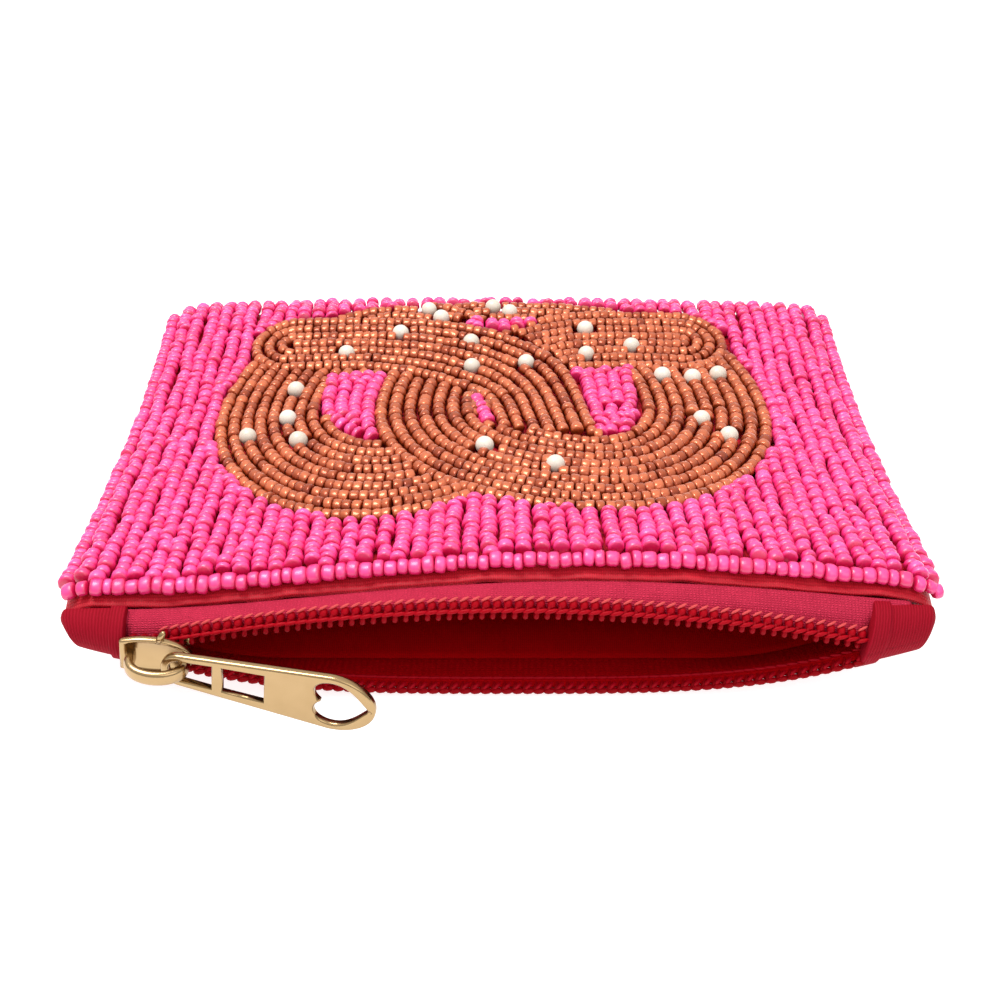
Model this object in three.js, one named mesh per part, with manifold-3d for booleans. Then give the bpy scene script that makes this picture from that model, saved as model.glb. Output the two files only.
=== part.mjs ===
// Beaded zip purse lying on its back panel, mouth open towards -Y.
// Millimetres: +X to the right of the mouth, +Y towards the closed far seam, +Z up.
// The origin is the middle of the flat resting face under the back panel.

import * as THREE from 'three';
import { mergeVertices } from 'three/addons/utils/BufferGeometryUtils.js';
import Module from 'manifold-3d';

const wasm = await Module();
wasm.setup();

// Front panel: a cloth wall, arched over the mouth and rolled down at its seams.
const CLOTH_HALF_WIDTH = 61.4;
const SIDE_WAIST = 1.2;
const FAR_Y = 46;
const CLOTH_DEPTH = 94.6;
const FRONT_CLOTH = 1.0;
const FAR_EDGE_Z = 4.3;
const NEAR_EDGE_Z = 14.8;
const EDGE_RISE_POWER = 1.55;
const FAR_ARCH = 1.6;
const NEAR_ARCH = 4.1;
const ARCH_RISE_POWER = 0.6;
const FAR_ARCH_POWER = 2.6;
const MOUTH_SWAY = 2.8;
const MOUTH_POWER = 3;
const NEAR_TILT = 0.5;
const SEAM_ROLL = 0.8;
const CORNER_ROLL = 2.1;
const SIDE_ROLL_START = 0.92;
const FAR_ROLL_END = 0.06;
const FACING_DROP = 1.3;
const FACING_DROP_POWER = 1.5;

// Back panel: flat on the table, drawn up to the front panel at the side and far seams.
const BACK_CLOTH = 1.2;
const SEAM_STACK = 2.6;
const SIDE_LIFT_START = 0.5;
const FAR_LIFT_END = 0.1;
const BACK_END = 0.988;

// Clearance between pieces that are sewn or strung against each other.
const GAP = 0.3;

// Bead layer on the front panel, and the single row of beads along the mouth.
const BEAD_LAYER = 2.0;
const BEAD_END = 0.962;
const BORDER_LINE = 0.978;
const BORDER_RADIUS = 1.15;
const PEARL_RADIUS = 1.5;
const POCKET_RADIUS = 1.95;

// Lining cloth inside both panels, as far as there is room between them.
const LINING_CLOTH = 1.0;
const LINING_START = 0.12;
const LINING_END = 0.95;
const LINING_FAR_SPAN = 0.68;
const LINING_SPAN_GROWTH = 0.22;

// Open zip: two chains that part at the slider and meet again at the right end tab.
const CHAIN_Y = -52.6;
const CHAIN_RADIUS = 1.05;
const CHAIN_LEFT_X = -51.7;
const CHAIN_RIGHT_X = 50.2;
const PARTING_MIDDLE_X = 2;
const PARTING_HALF_SPAN = 50;
const UPPER_CHAIN_END_Z = 9.6;
const UPPER_CHAIN_RISE = 5.8;
const UPPER_CHAIN_POWER = 1.9;
const LOWER_CHAIN_END_Z = 7.0;
const LOWER_CHAIN_DROP = 5.85;
const LOWER_CHAIN_POWER = 3.4;
const CHAIN_STEPS = 30;
const TAPE_CLOTH = 1.0;
const TAPE_GAP = 0.45;
const TAPE_STEPS = 24;
const UPPER_TAPE_ANGLE = THREE.MathUtils.degToRad(50);
const LOWER_TAPE_ANGLE = THREE.MathUtils.degToRad(-20);

// Slider: nose drooping to the right, with the pull's pivot to the right of its bridge's middle.
const PIVOT = new THREE.Vector3(-46.0, -56.45, 8.6);
const BRIDGE_X = -1.2;
const SLIDER_DROOP = THREE.MathUtils.degToRad(6);
const PLATE_FRONT = 1.4;
const PLATE_THICKNESS = 1.1;
const PLATE_TAIL_X = -5.4;
const PLATE_NOSE_X = 4.6;
const PLATE_TAIL_HALF = 2.5;
const PLATE_BELLY_HALF = 3.6;
const PLATE_NOSE_HALF = 0.9;
const PLATE_WAIST_X = -2.2;
const PLATE_CHEEK_X = 2.8;
const BACK_PLATE_FRONT = 5.2;
const BACK_PLATE_THICKNESS = 0.9;
const BACK_PLATE_LENGTH = 8.2;
const BACK_PLATE_HEIGHT = 2.5;
const POST_X = 2.9;
const POST_RADIUS = 0.7;
const BRIDGE_INNER = { half: 3.1, reach: 1.9 };
const BRIDGE_OUTER = { half: 4.5, reach: 3.3 };
const BRIDGE_WIDTH = 2.2;
const FUSE_DEPTH = 0.1;

// Pull: a stamped plate with a loop, two windows and a heart cut-out, swung towards the viewer.
const PULL_YAW = THREE.MathUtils.degToRad(11);
const PULL_THICKNESS = 1.3;
const PULL_BEVEL = 0.25;
const LOOP_CENTRE = 2.2;
const LOOP_RADIUS = 2.8;
const PULL_END_CENTRE = 23.6;
const PULL_END_LENGTH = 6.5;
const PULL_END_HALF = 4.85;
const PULL_WINDOWS = [
  { start: 0.55, end: 6.75, startHalf: 1.7, endHalf: 2.1, round: true },
  { start: 8.3, end: 14.25, startHalf: 2.2, endHalf: 2.5, round: false },
];
const HEART = { notch: 22.3, lobe: 21.2, shoulder: 24.0, tip: 29.15, half: 3.75, flank: 1.2 };

// End tabs: folded ribbon over each end of the zip, one row for each end.
const TAB_BACK_Y = -49.0;
const TAB_SECTION_STEPS = 8;
const TAB_LENGTH_STEPS = 5;
const TABS = [
  { name: 'end_tab_left', inner: -52.2, outer: -61.6, innerTop: 13.0, outerTop: 12.8,
    innerBottom: 5.0, outerBottom: 6.8, innerBulge: 4.2, outerBulge: 2.8, lean: 0.2 },
  { name: 'end_tab_right', inner: 51.3, outer: 61.6, innerTop: 13.9, outerTop: 13.4,
    innerBottom: 3.6, outerBottom: 6.2, innerBulge: 4.6, outerBulge: 2.8, lean: 1.2 },
];

// Pretzel motif in plan: two ring discs, two rope ends, the far arc and the gaps it leaves.
const RINGS = [
  { x: -18.5, y: 3.0, halfWidth: 28.4, halfDepth: 36.6 },
  { x: 16.4, y: 3.0, halfWidth: 29.0, halfDepth: 36.2 },
];
const ROPE_ENDS = [
  { fromX: -34.3, toX: -18, y: 28, radius: 10.4 },
  { fromX: 18, toX: 30, y: 29.4, radius: 11.6 },
];
const FAR_ARC = { radius: 80, centreY: -34.8, halfWidth: 33, baseY: 24 };
const LEFT_EYE = { right: -20, left: -29.8, top: 16, shoulder: 8, bottom: -8.6 };
const RIGHT_EYE = { left: 13.4, leftFoot: 15.8, right: 23.3, top: 16.5, shoulder: 8, bottom: -6.7 };
const FAR_EYE = { halfTop: 6.4, halfBottom: 1.8, top: 38.2, bottom: 32.8 };

// Pearls in plan, one row for each.
const PEARLS = [
  { x: -27.0, y: 23.6 }, { x: -17.8, y: 31.4 }, { x: -13.0, y: 41.0 }, { x: -10.6, y: 37.6 },
  { x: -1.0, y: 42.2 }, { x: 2.1, y: 40.0 }, { x: -4.9, y: 27.4 }, { x: -4.6, y: 17.5 },
  { x: 4.9, y: 19.0 }, { x: 15.9, y: 33.0 }, { x: 15.6, y: 22.6 }, { x: 23.9, y: 26.2 },
  { x: 28.4, y: 14.6 }, { x: 33.6, y: 14.2 }, { x: 38.2, y: 15.8 }, { x: 33.4, y: -1.6 },
  { x: 37.2, y: -7.2 }, { x: 8.9, y: -18.8 }, { x: -2.1, y: -12.0 }, { x: -34.7, y: -0.3 },
  { x: -34.5, y: 10.0 }, { x: -40.6, y: -5.8 }, { x: -32.1, y: -8.2 },
];

// Mesh fineness: a full circle has twice as many sides as its segments.
const ARC_SEGMENTS = 9;
const TUBE_SEGMENTS = 4;
const POST_SIDES = 8;
const PEARL_SIDES = 8;
const PEARL_RINGS = 6;
const PANEL_COLUMNS = 14;
const PANEL_ROWS = 11;
const BACK_LIFT_COLUMNS = 6;
const BACK_ROWS = 8;
const LINING_COLUMNS = 12;
const LINING_ROWS = 8;

// Heights between which the plan outlines cut the bead layer.
const PRISM_BOTTOM = -1;
const PRISM_TOP = 30;

// Plain helpers for grids and ramps.
function spread(low, high, steps) {
  return Array.from({ length: steps + 1 }, (_, k) => THREE.MathUtils.lerp(low, high, k / steps));
}

function ramp(value, start, end) {
  return Math.max(0, (value - start) / (end - start));
}

// Closed solid between two surfaces over one grid; "across" runs along +X, "along" towards -Y.
function slab(acrossLines, alongLines, upper, lower) {
  const columns = acrossLines.length;
  const rows = alongLines.length;
  const positions = [];
  for (const surface of [upper, lower]) {
    for (const along of alongLines) {
      for (const across of acrossLines) {
        positions.push(...surface(across, along).toArray());
      }
    }
  }
  const index = [];
  const at = (row, column, side) => side * rows * columns + row * columns + column;
  const quad = (a, b, c, d) => index.push(a, b, c, a, c, d);
  const [top, bottom, lastRow, lastColumn] = [0, 1, rows - 1, columns - 1];
  for (let row = 0; row < lastRow; row += 1) {
    for (let column = 0; column < lastColumn; column += 1) {
      const [r, c] = [row + 1, column + 1];
      quad(at(row, column, top), at(r, column, top), at(r, c, top), at(row, c, top));
      quad(at(row, column, bottom), at(row, c, bottom), at(r, c, bottom), at(r, column, bottom));
    }
  }
  for (let column = 0; column < lastColumn; column += 1) {
    const c = column + 1;
    quad(at(0, column, top), at(0, c, top), at(0, c, bottom), at(0, column, bottom));
    const [upperEnd, lowerEnd] = [at(lastRow, column, top), at(lastRow, column, bottom)];
    quad(at(lastRow, c, top), upperEnd, lowerEnd, at(lastRow, c, bottom));
  }
  for (let row = 0; row < lastRow; row += 1) {
    const r = row + 1;
    quad(at(r, 0, top), at(row, 0, top), at(row, 0, bottom), at(r, 0, bottom));
    const [upperEnd, lowerEnd] = [at(r, lastColumn, top), at(r, lastColumn, bottom)];
    quad(at(row, lastColumn, top), upperEnd, lowerEnd, at(row, lastColumn, bottom));
  }
  const geometry = new THREE.BufferGeometry();
  geometry.setAttribute('position', new THREE.Float32BufferAttribute(positions, 3));
  geometry.setIndex(index);
  return geometry;
}

function toSolid(geometry) {
  const bare = geometry.clone();
  bare.deleteAttribute('normal');
  bare.deleteAttribute('uv');
  const merged = mergeVertices(bare);
  return new wasm.Manifold(new wasm.Mesh({
    numProp: 3,
    vertProperties: new Float32Array(merged.attributes.position.array),
    triVerts: new Uint32Array(merged.index.array),
  }));
}

function toGeometry(solid) {
  const mesh = solid.getMesh();
  const geometry = new THREE.BufferGeometry();
  geometry.setAttribute('position', new THREE.Float32BufferAttribute(mesh.vertProperties, 3));
  geometry.setIndex(new THREE.Uint32BufferAttribute(mesh.triVerts, 1));
  return geometry;
}

function joined(solids) {
  return solids.reduce((whole, solid) => whole.add(solid));
}

function tube(points, radius, steps) {
  const section = new THREE.Shape();
  section.absarc(0, 0, radius, 0, 2 * Math.PI);
  const path = new THREE.CatmullRomCurve3(points);
  return new THREE.ExtrudeGeometry(section, { steps, extrudePath: path, curveSegments: TUBE_SEGMENTS });
}

// Front panel surface: "a" is -1 to 1 between the side seams, "b" is 0 at the far seam to 1 at the mouth.
function frontPoint(a, b) {
  const width = Math.abs(a);
  const depth = Math.max(0, b);
  const edge = THREE.MathUtils.lerp(FAR_EDGE_Z, NEAR_EDGE_Z, depth ** EDGE_RISE_POWER);
  const arch = THREE.MathUtils.lerp(FAR_ARCH, NEAR_ARCH, depth ** ARCH_RISE_POWER);
  const mouth = depth ** MOUTH_POWER;
  const crown = THREE.MathUtils.lerp(1 - width ** FAR_ARCH_POWER, (1 - a * a) ** 2, mouth);
  const sway = MOUTH_SWAY * mouth * (a - a ** 3) + NEAR_TILT * a * depth;
  const sideRoll = THREE.MathUtils.lerp(SEAM_ROLL, CORNER_ROLL, mouth) * ramp(width, SIDE_ROLL_START, 1) ** 2;
  const farRoll = SEAM_ROLL * ramp(b, FAR_ROLL_END, 0) ** 2;
  const facingDrop = FACING_DROP * ramp(b, BEAD_END, 1) ** FACING_DROP_POWER;
  return new THREE.Vector3(
    a * (CLOTH_HALF_WIDTH - SIDE_WAIST * Math.sin(Math.PI * depth)),
    FAR_Y - b * CLOTH_DEPTH,
    edge + arch * crown + sway - sideRoll - farRoll - facingDrop,
  );
}

function frontNormal(a, b) {
  const step = 1e-4;
  const across = frontPoint(a + step, b).sub(frontPoint(a - step, b));
  const along = frontPoint(a, b - step).sub(frontPoint(a, b + step));
  return across.cross(along).normalize();
}

function frontOffset(distance) {
  return (a, b) => frontPoint(a, b).addScaledVector(frontNormal(a, b), distance);
}

// Panel coordinates of a plan position, for what is placed on the front panel.
function panelAt(x, y) {
  const b = (FAR_Y - y) / CLOTH_DEPTH;
  return { a: x / (CLOTH_HALF_WIDTH - SIDE_WAIST * Math.sin(Math.PI * b)), b };
}

// Back panel surface at a height above its outer face.
function backRaised(height) {
  return (a, b) => {
    const point = frontPoint(a, b);
    const sideLift = ramp(Math.abs(a), SIDE_LIFT_START, 1) ** 2;
    const farLift = ramp(b, FAR_LIFT_END, 0) ** 2;
    const lift = 1 - (1 - sideLift) * (1 - farLift);
    point.z = lift * (point.z - SEAM_STACK) + height;
    return point;
  };
}

// Cloth panels and lining.
const MID_ROLL = (1 + SIDE_ROLL_START) / 2;
const ACROSS = [-1, -MID_ROLL, ...spread(-SIDE_ROLL_START, SIDE_ROLL_START, PANEL_COLUMNS), MID_ROLL, 1];
const BEAD_ALONG = [0, FAR_ROLL_END / 2, ...spread(FAR_ROLL_END, BEAD_END, PANEL_ROWS)];

function frontPanel() {
  const along = [...BEAD_ALONG, (1 + BEAD_END) / 2, 1];
  return slab(ACROSS, along, frontOffset(0), frontOffset(-FRONT_CLOTH));
}

function backPanel() {
  const across = [
    ...spread(-1, -SIDE_LIFT_START, BACK_LIFT_COLUMNS),
    0,
    ...spread(SIDE_LIFT_START, 1, BACK_LIFT_COLUMNS),
  ];
  const along = [0, FAR_ROLL_END / 2, FAR_ROLL_END, ...spread(FAR_LIFT_END, BACK_END, BACK_ROWS)];
  return slab(across, along, backRaised(BACK_CLOTH), backRaised(0));
}

function liningSheet(upper, lower) {
  const within = (surface) => (a, b) => surface(a * (LINING_FAR_SPAN + LINING_SPAN_GROWTH * b), b);
  const across = spread(-1, 1, LINING_COLUMNS);
  const along = spread(LINING_START, LINING_END, LINING_ROWS);
  return slab(across, along, within(upper), within(lower));
}

function frontLining() {
  const outer = -FRONT_CLOTH - GAP;
  return liningSheet(frontOffset(outer), frontOffset(outer - LINING_CLOTH));
}

function backLining() {
  const outer = BACK_CLOTH + GAP;
  return liningSheet(backRaised(outer + LINING_CLOTH), backRaised(outer));
}

// Bead layer, cut in plan into the pink field, its patches and the motif.
function prism(shape, curveSegments = ARC_SEGMENTS) {
  const depth = PRISM_TOP - PRISM_BOTTOM;
  const geometry = new THREE.ExtrudeGeometry(shape, { depth, bevelEnabled: false, curveSegments });
  geometry.translate(0, 0, PRISM_BOTTOM);
  return toSolid(geometry);
}

function ringShape({ x, y, halfWidth, halfDepth }, grow) {
  const shape = new THREE.Shape();
  shape.absellipse(x, y, halfWidth + grow, halfDepth + grow, 0, 2 * Math.PI);
  return shape;
}

function ropeEndShape({ fromX, toX, y, radius }, grow) {
  const shape = new THREE.Shape();
  shape.absarc(fromX, y, radius + grow, Math.PI / 2, 1.5 * Math.PI);
  shape.absarc(toX, y, radius + grow, -Math.PI / 2, Math.PI / 2);
  return shape;
}

function farArcShape({ radius, centreY, halfWidth, baseY }, grow) {
  const reach = Math.asin(halfWidth / radius);
  const shape = new THREE.Shape();
  shape.moveTo(halfWidth, baseY);
  shape.absarc(0, centreY, radius + grow, Math.PI / 2 - reach, Math.PI / 2 + reach);
  shape.lineTo(-halfWidth, baseY);
  return shape;
}

function leftEyeShape({ right, left, top, shoulder, bottom }, grow) {
  const shape = new THREE.Shape();
  shape.moveTo(right + grow, top + grow);
  shape.lineTo(left - grow, top + grow);
  shape.lineTo(left - grow, shoulder);
  shape.quadraticCurveTo(left - grow, bottom - grow, right + grow, bottom - grow);
  return shape;
}

function rightEyeShape({ left, leftFoot, right, top, shoulder, bottom }, grow) {
  const shape = new THREE.Shape();
  shape.moveTo(leftFoot - grow, bottom - grow);
  shape.quadraticCurveTo(right + grow, bottom - grow, right + grow, shoulder);
  shape.lineTo(right + grow, top + grow);
  shape.lineTo(left - grow, top + grow);
  return shape;
}

function farEyeShape({ halfTop, halfBottom, top, bottom }, grow) {
  const shape = new THREE.Shape();
  shape.moveTo(-halfBottom - grow, bottom - grow);
  shape.lineTo(halfBottom + grow, bottom - grow);
  shape.lineTo(halfTop + grow, top + grow);
  shape.lineTo(-halfTop - grow, top + grow);
  return shape;
}

function motifOutline(grow) {
  return joined([
    ...RINGS.map((ring) => prism(ringShape(ring, grow))),
    ...ROPE_ENDS.map((end) => prism(ropeEndShape(end, grow))),
    prism(farArcShape(FAR_ARC, grow)),
  ]);
}

function eyeOutlines(grow) {
  return {
    left: prism(leftEyeShape(LEFT_EYE, grow)),
    right: prism(rightEyeShape(RIGHT_EYE, grow)),
    far: prism(farEyeShape(FAR_EYE, grow)),
  };
}

function pearlCentre({ x, y }) {
  const { a, b } = panelAt(x, y);
  return frontOffset(GAP + PEARL_RADIUS)(a, b);
}

function pocket(pearl) {
  const { x, y } = pearlCentre(pearl);
  const shape = new THREE.Shape();
  shape.absarc(x, y, POCKET_RADIUS, 0, 2 * Math.PI);
  return prism(shape, TUBE_SEGMENTS);
}

function beadPieces() {
  const layer = toSolid(slab(ACROSS, BEAD_ALONG, frontOffset(GAP + BEAD_LAYER), frontOffset(GAP)));
  const eyes = eyeOutlines(-GAP / 2);
  const motif = motifOutline(-GAP / 2)
    .subtract(joined(Object.values(eyeOutlines(GAP / 2))))
    .subtract(joined(PEARLS.map(pocket)))
    .intersect(layer);
  return {
    bead_field: layer.subtract(motifOutline(GAP / 2)),
    bead_patch_left: layer.intersect(eyes.left),
    bead_patch_right: layer.intersect(eyes.right),
    bead_patch_far: layer.intersect(eyes.far),
    pretzel_motif: motif,
  };
}

function borderStrand() {
  const points = spread(-1, 1, CHAIN_STEPS).map((a) => frontOffset(GAP + BORDER_RADIUS)(a, BORDER_LINE));
  return tube(points, BORDER_RADIUS, CHAIN_STEPS);
}

function pearl(place) {
  const geometry = new THREE.SphereGeometry(PEARL_RADIUS, PEARL_SIDES, PEARL_RINGS);
  geometry.translate(...pearlCentre(place).toArray());
  return geometry;
}

// Zip chains and tapes; a chain's height follows how far it has parted at that place.
function parted(x, power) {
  const place = Math.min(1, Math.abs(x - PARTING_MIDDLE_X) / PARTING_HALF_SPAN);
  return 1 - place ** power;
}

function upperChain(x) {
  const z = UPPER_CHAIN_END_Z + UPPER_CHAIN_RISE * parted(x, UPPER_CHAIN_POWER);
  return new THREE.Vector3(x, CHAIN_Y, z);
}

function lowerChain(x) {
  const z = LOWER_CHAIN_END_Z - LOWER_CHAIN_DROP * parted(x, LOWER_CHAIN_POWER);
  return new THREE.Vector3(x, CHAIN_Y, z);
}

function chain(line) {
  const points = spread(CHAIN_LEFT_X, CHAIN_RIGHT_X, CHAIN_STEPS).map(line);
  return tube(points, CHAIN_RADIUS, CHAIN_STEPS);
}

// A tape runs from the edge of its panel to the back of its chain.
function tape(seam, line, angle) {
  const reach = CHAIN_RADIUS + GAP;
  const raised = (height) => (x, along) => {
    const start = seam(x);
    const end = line(x).add(new THREE.Vector3(0, reach * Math.cos(angle), reach * Math.sin(angle)));
    const run = end.clone().sub(start).normalize();
    const normal = new THREE.Vector3(0, run.z, -run.y).normalize();
    return start.lerp(end, along).addScaledVector(normal, height);
  };
  const across = spread(CHAIN_LEFT_X, CHAIN_RIGHT_X, TAPE_STEPS);
  return slab(across, [0, 1], raised(TAPE_CLOTH / 2), raised(-TAPE_CLOTH / 2));
}

function upperSeam(x) {
  const edge = frontOffset(-FRONT_CLOTH / 2)(x / CLOTH_HALF_WIDTH, 1);
  return new THREE.Vector3(x, edge.y - TAPE_GAP, edge.z);
}

function lowerSeam(x) {
  const edge = backRaised(BACK_CLOTH / 2)(x / CLOTH_HALF_WIDTH, BACK_END);
  return new THREE.Vector3(x, edge.y - TAPE_GAP, edge.z);
}

// End tab: a half-round section lofted along X, flat at the back, its inner edge leaning with height.
function endTab(tab) {
  const face = (side) => (x, along) => {
    const t = (x - tab.inner) / (tab.outer - tab.inner);
    const top = THREE.MathUtils.lerp(tab.innerTop, tab.outerTop, t);
    const bottom = THREE.MathUtils.lerp(tab.innerBottom, tab.outerBottom, t);
    const bulge = THREE.MathUtils.lerp(tab.innerBulge, tab.outerBulge, t) * side;
    const angle = Math.PI * (along - 0.5);
    return new THREE.Vector3(
      x - tab.lean * (1 - t) * Math.sin(angle),
      TAB_BACK_Y - GAP - bulge * Math.cos(angle),
      (top + bottom) / 2 - ((top - bottom) / 2) * Math.sin(angle),
    );
  };
  const back = (x, along) => {
    const point = face(0)(x, along);
    point.y = TAB_BACK_Y;
    return point;
  };
  const across = spread(Math.min(tab.inner, tab.outer), Math.max(tab.inner, tab.outer), TAB_LENGTH_STEPS);
  return slab(across, spread(0, 1, TAB_SECTION_STEPS), face(1), back);
}

// Slider, about its bridge's middle: the plate faces -Y.
function upright(shape, thickness, frontY) {
  const geometry = new THREE.ExtrudeGeometry(shape, { depth: thickness, bevelEnabled: false });
  geometry.rotateX(Math.PI / 2);
  geometry.translate(0, frontY + thickness, 0);
  return toSolid(geometry);
}

function plateShape() {
  const shape = new THREE.Shape();
  shape.moveTo(PLATE_TAIL_X, -PLATE_TAIL_HALF);
  shape.bezierCurveTo(
    PLATE_WAIST_X, -PLATE_BELLY_HALF,
    PLATE_CHEEK_X, -PLATE_BELLY_HALF,
    PLATE_NOSE_X, -PLATE_NOSE_HALF,
  );
  shape.lineTo(PLATE_NOSE_X, PLATE_NOSE_HALF);
  shape.bezierCurveTo(
    PLATE_CHEEK_X, PLATE_BELLY_HALF,
    PLATE_WAIST_X, PLATE_BELLY_HALF,
    PLATE_TAIL_X, PLATE_TAIL_HALF,
  );
  return shape;
}

function bridge() {
  const foot = PLATE_FRONT + FUSE_DEPTH;
  const shape = new THREE.Shape();
  shape.moveTo(-BRIDGE_OUTER.half, foot);
  shape.absellipse(0, 0, BRIDGE_OUTER.half, BRIDGE_OUTER.reach, Math.PI, 2 * Math.PI);
  shape.lineTo(BRIDGE_OUTER.half, foot);
  shape.lineTo(BRIDGE_INNER.half, foot);
  shape.absellipse(0, 0, BRIDGE_INNER.half, BRIDGE_INNER.reach, 2 * Math.PI, Math.PI, true);
  shape.lineTo(-BRIDGE_INNER.half, foot);
  const geometry = new THREE.ExtrudeGeometry(shape, { depth: BRIDGE_WIDTH, bevelEnabled: false });
  geometry.translate(0, 0, -BRIDGE_WIDTH / 2);
  return toSolid(geometry);
}

function slider() {
  const backPlate = new THREE.BoxGeometry(BACK_PLATE_LENGTH, BACK_PLATE_THICKNESS, BACK_PLATE_HEIGHT);
  backPlate.translate(0, BACK_PLATE_FRONT + BACK_PLATE_THICKNESS / 2, 0);
  const postLength = BACK_PLATE_FRONT - PLATE_FRONT - PLATE_THICKNESS + 2 * FUSE_DEPTH;
  const post = new THREE.CylinderGeometry(POST_RADIUS, POST_RADIUS, postLength, POST_SIDES);
  post.translate(POST_X, BACK_PLATE_FRONT + FUSE_DEPTH - postLength / 2, 0);
  const plate = upright(plateShape(), PLATE_THICKNESS, PLATE_FRONT);
  return joined([plate, bridge(), toSolid(post), toSolid(backPlate)]).translate([BRIDGE_X, 0, 0]);
}

// Pull, flat in its own XY plane with its length along +X, then stood on edge.
function windowPath({ start, end, startHalf, endHalf, round }) {
  const path = new THREE.Path();
  path.moveTo(end, -endHalf);
  path.lineTo(end, endHalf);
  if (round) {
    path.absarc(start + startHalf, 0, startHalf, Math.PI / 2, 1.5 * Math.PI);
  } else {
    path.lineTo(start, startHalf);
    path.lineTo(start, -startHalf);
  }
  path.closePath();
  return path;
}

function heartPath({ notch, lobe, shoulder, tip, half, flank }) {
  const path = new THREE.Path();
  path.moveTo(tip, 0);
  path.bezierCurveTo(tip - flank, flank, shoulder + 2 * flank, half, shoulder, half);
  path.bezierCurveTo(lobe, half, lobe - flank / 2, flank, notch, 0);
  path.bezierCurveTo(lobe - flank / 2, -flank, lobe, -half, shoulder, -half);
  path.bezierCurveTo(shoulder + 2 * flank, -half, tip - flank, -flank, tip, 0);
  return path;
}

function pull() {
  const shape = new THREE.Shape();
  shape.absellipse(PULL_END_CENTRE, 0, PULL_END_LENGTH, PULL_END_HALF, -Math.PI / 2, Math.PI / 2);
  shape.absarc(LOOP_CENTRE, 0, LOOP_RADIUS, Math.PI / 2, 1.5 * Math.PI);
  shape.closePath();
  shape.holes.push(...PULL_WINDOWS.map(windowPath), heartPath(HEART));
  const geometry = new THREE.ExtrudeGeometry(shape, {
    depth: PULL_THICKNESS - 2 * PULL_BEVEL,
    bevelThickness: PULL_BEVEL,
    bevelSize: PULL_BEVEL,
    bevelOffset: -PULL_BEVEL,
    bevelSegments: 1,
    curveSegments: ARC_SEGMENTS,
  });
  geometry.translate(0, 0, PULL_BEVEL - PULL_THICKNESS / 2);
  geometry.rotateX(Math.PI / 2);
  return geometry;
}

// Materials.
function finish(color, roughness, metalness = 0) {
  return new THREE.MeshStandardMaterial({ color, roughness, metalness });
}

const pinkGlass = finish(0xff4ba5, 0.35);
const bronzeGlass = finish(0xa8623c, 0.3, 0.6);
const ivoryPearl = finish(0xf3ecdd, 0.25);
const crimsonSatin = finish(0xaa1432, 0.6);
const crimsonTape = finish(0xc8284b, 0.75);
const redCoil = finish(0xc8001e, 0.4);
const darkLining = finish(0x6b0010, 0.55);
const paleGold = finish(0xe6c27a, 0.2, 1);

const purse = new THREE.Group();

function place(parent, name, geometry, material) {
  const mesh = new THREE.Mesh(geometry, material);
  mesh.name = name;
  parent.add(mesh);
  return mesh;
}

place(purse, 'back_panel', backPanel(), crimsonSatin);
place(purse, 'front_panel', frontPanel(), crimsonSatin);
place(purse, 'lining_front', frontLining(), darkLining);
place(purse, 'lining_back', backLining(), darkLining);
for (const [name, solid] of Object.entries(beadPieces())) {
  place(purse, name, toGeometry(solid), name === 'pretzel_motif' ? bronzeGlass : pinkGlass);
}
place(purse, 'border_strand', borderStrand(), pinkGlass);
PEARLS.forEach((row, k) => {
  place(purse, `pearl_${String(k + 1).padStart(2, '0')}`, pearl(row), ivoryPearl);
});
place(purse, 'zip_tape_upper', tape(upperSeam, upperChain, UPPER_TAPE_ANGLE), crimsonTape);
place(purse, 'zip_tape_lower', tape(lowerSeam, lowerChain, LOWER_TAPE_ANGLE), crimsonTape);
place(purse, 'zip_coil_upper', chain(upperChain), redCoil);
place(purse, 'zip_coil_lower', chain(lowerChain), redCoil);
for (const row of TABS) {
  place(purse, row.name, endTab(row), crimsonTape);
}

const sliderGroup = new THREE.Group();
sliderGroup.position.copy(PIVOT);
sliderGroup.rotation.y = SLIDER_DROOP;
place(sliderGroup, 'slider', toGeometry(slider()), paleGold);
place(sliderGroup, 'pull', pull(), paleGold).rotation.z = -PULL_YAW;
purse.add(sliderGroup);

export default purse;
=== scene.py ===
"""A beaded zip purse lying on its back panel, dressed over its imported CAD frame."""
import math

import bmesh
import bpy
import numpy as np
from mathutils import Matrix, Vector


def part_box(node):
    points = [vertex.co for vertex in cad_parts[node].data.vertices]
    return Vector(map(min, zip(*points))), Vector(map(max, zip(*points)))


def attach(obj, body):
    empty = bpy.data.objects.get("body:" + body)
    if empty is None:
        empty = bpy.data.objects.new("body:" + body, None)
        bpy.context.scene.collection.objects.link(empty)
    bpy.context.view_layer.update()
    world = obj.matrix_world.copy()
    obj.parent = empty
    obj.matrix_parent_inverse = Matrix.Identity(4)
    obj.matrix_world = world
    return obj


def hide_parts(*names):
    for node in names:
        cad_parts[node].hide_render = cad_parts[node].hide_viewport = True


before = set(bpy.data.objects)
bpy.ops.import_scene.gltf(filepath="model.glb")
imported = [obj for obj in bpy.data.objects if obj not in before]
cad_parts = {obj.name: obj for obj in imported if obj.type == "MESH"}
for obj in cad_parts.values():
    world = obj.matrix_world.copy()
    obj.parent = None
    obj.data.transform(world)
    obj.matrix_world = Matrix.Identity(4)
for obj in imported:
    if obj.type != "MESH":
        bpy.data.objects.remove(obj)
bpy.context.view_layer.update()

# Studio: the purse lies on a white sweep under a bright ceiling and one broad soft light a little behind it.
# The camera stands where the photograph was taken from, looking down into the open mouth.
MM = 0.001
scene = bpy.context.scene
scene.view_settings.view_transform = "Standard"

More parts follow.
